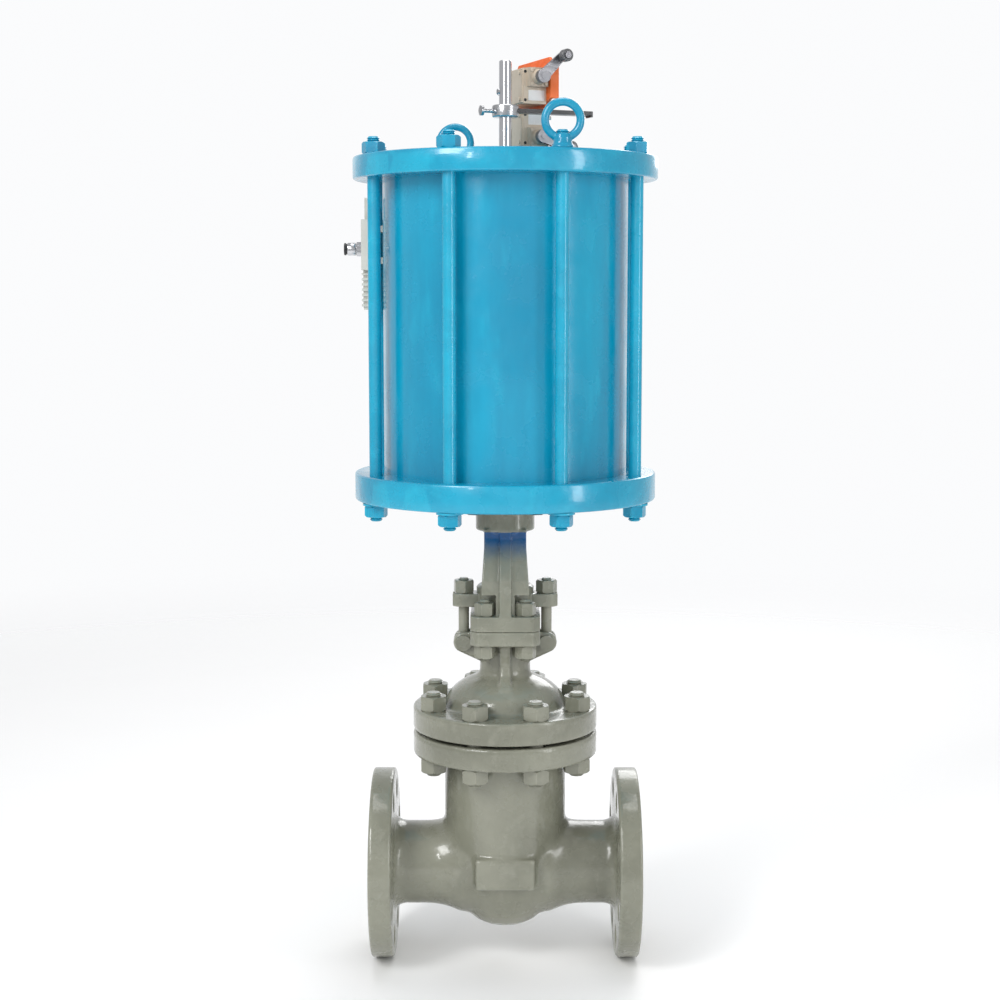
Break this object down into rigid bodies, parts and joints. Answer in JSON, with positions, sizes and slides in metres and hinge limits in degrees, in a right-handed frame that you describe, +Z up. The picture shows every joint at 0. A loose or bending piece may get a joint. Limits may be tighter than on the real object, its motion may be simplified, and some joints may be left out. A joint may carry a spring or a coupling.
{
  "type": "pneumatic flanged gate valve",
  "caption": "Flanged wedge gate valve with a bolted bonnet and yoke, opened by a tie-rod air cylinder with limit switches on its top cover.",
  "frame": {"origin": "the point where the pipe axis crosses the stem axis, halfway between the two flange faces", "axes": "+X along the pipe towards the outlet flange, +Z up the stem towards the cylinder, -Y towards the front of the valve"},
  "size_m": [0.3, 0.29, 0.886],
  "materials": {
    "valve_casting": "glossy grey-green enamel over sand-cast steel",
    "valve_fasteners": "glossy grey-green enamel over bolting",
    "actuator_paint": "glossy sky-blue enamel",
    "bright_steel": "machined steel",
    "chrome_rod": "hard chrome, ground",
    "stainless": "turned stainless steel",
    "bronze": "plain bearing bronze",
    "graphite": "braided graphite packing",
    "gasket": "spiral wound gasket",
    "seal_rubber": "black nitrile rubber",
    "wear_plastic": "filled ptfe",
    "aluminium_casting": "machined aluminium",
    "spring_steel": "oiled spring steel",
    "black_steel": "satin black",
    "bracket_paint": "orange powder coat",
    "switch_shell": "beige-grey enamel on die-cast shell",
    "roller_plastic": "dark grey nylon",
    "black_plastic": "black nylon",
    "coil_shell": "light grey moulded resin",
    "zinc_steel": "zinc plated steel"
  },
  "bodies": {
    "valve_and_cylinder": {"valve_body": "valve_casting", "seat_rings": "stainless", "backseat_bush": "stainless", "bonnet": "valve_casting", "bonnet_gasket": "gasket", "bonnet_studs": "valve_fasteners", "bonnet_nuts": "valve_fasteners", "packing_rings": "graphite", "gland_follower": "stainless", "gland_flange": "valve_casting", "gland_eye_bolts": "valve_fasteners", "gland_nuts": "valve_fasteners", "gland_pins": "valve_fasteners", "cotter_pins": "zinc_steel", "yoke": "valve_casting", "yoke_studs": "valve_fasteners", "yoke_nuts": "valve_fasteners", "head_screws": "black_steel", "bottom_cover": "actuator_paint", "rod_bush": "bronze", "rod_seal": "seal_rubber", "cylinder_tube": "actuator_paint", "tube_seals": "seal_rubber", "top_cover": "actuator_paint", "tie_rods": "actuator_paint", "tie_rod_nuts": "actuator_paint", "eye_nuts": "actuator_paint", "tail_bush": "bronze", "tail_seal": "seal_rubber", "return_spring": "spring_steel", "switch_bracket": "bracket_paint", "bracket_screws": "zinc_steel", "upper_switch_body": "switch_shell", "lower_switch_body": "switch_shell", "upper_switch_cover": "switch_shell", "lower_switch_cover": "switch_shell", "switch_screws": "zinc_steel", "cable_glands": "black_plastic", "air_valve_block": "coil_shell", "air_valve_coil": "coil_shell", "push_in_fitting": "bright_steel", "breather": "bronze"},
    "stem_and_piston": {"wedge_gate": "stainless", "stem": "stainless", "stem_lock_nut": "zinc_steel", "piston_rod": "chrome_rod", "piston": "aluminium_casting", "piston_seal": "seal_rubber", "wear_ring": "wear_plastic", "tail_rod": "chrome_rod", "clamp_ring": "bright_steel", "clamp_screw": "bright_steel", "rod_pin": "bright_steel", "striker_bar": "black_steel"},
    "upper_lever": {"upper_lever": "bright_steel"},
    "lower_lever": {"lower_lever": "bright_steel"},
    "upper_roller": {"upper_roller": "roller_plastic"},
    "lower_roller": {"lower_roller": "roller_plastic"},
    "override_button": {"override_button": "bronze"},
    "release_ring": {"release_ring": "black_plastic"}
  },
  "joints": [
    {"name": "stem_lift", "type": "slide", "parent": "valve_and_cylinder", "child": "stem_and_piston", "axis": [0, 0, 1], "range_m": [-0.024, 0.046], "deforming": ["return_spring"]},
    {"name": "upper_lever_swing", "type": "hinge", "parent": "valve_and_cylinder", "child": "upper_lever", "pos_m": [0.04065, 0.01684, 0.7685], "axis": [0.3827, -0.9239, 0], "range_deg": [0, 40], "stiffness_Nm_per_rad": 0.05, "springref_deg": -11.46},
    {"name": "lower_lever_swing", "type": "hinge", "parent": "valve_and_cylinder", "child": "lower_lever", "pos_m": [0.04065, 0.01684, 0.7115], "axis": [0.3827, -0.9239, 0], "range_deg": [-13, 0], "stiffness_Nm_per_rad": 0.05, "springref_deg": 11.46},
    {"name": "upper_roller_spin", "type": "hinge", "parent": "upper_lever", "child": "upper_roller", "pos_m": [0.05838, 0.02418, 0.78749], "axis": [0.3827, -0.9239, 0], "continuous": true},
    {"name": "lower_roller_spin", "type": "hinge", "parent": "lower_lever", "child": "lower_roller", "pos_m": [0.06344, 0.02628, 0.70052], "axis": [0.3827, -0.9239, 0], "continuous": true},
    {"name": "override_press", "type": "slide", "parent": "valve_and_cylinder", "child": "override_button", "axis": [1, 0, 0], "range_m": [0, 0.0015], "stiffness_N_per_m": 400, "springref_m": -0.001},
    {"name": "release_ring_press", "type": "slide", "parent": "valve_and_cylinder", "child": "release_ring", "axis": [1, 0, 0], "range_m": [0, 0.0008], "stiffness_N_per_m": 600, "springref_m": -0.001}
  ]
}
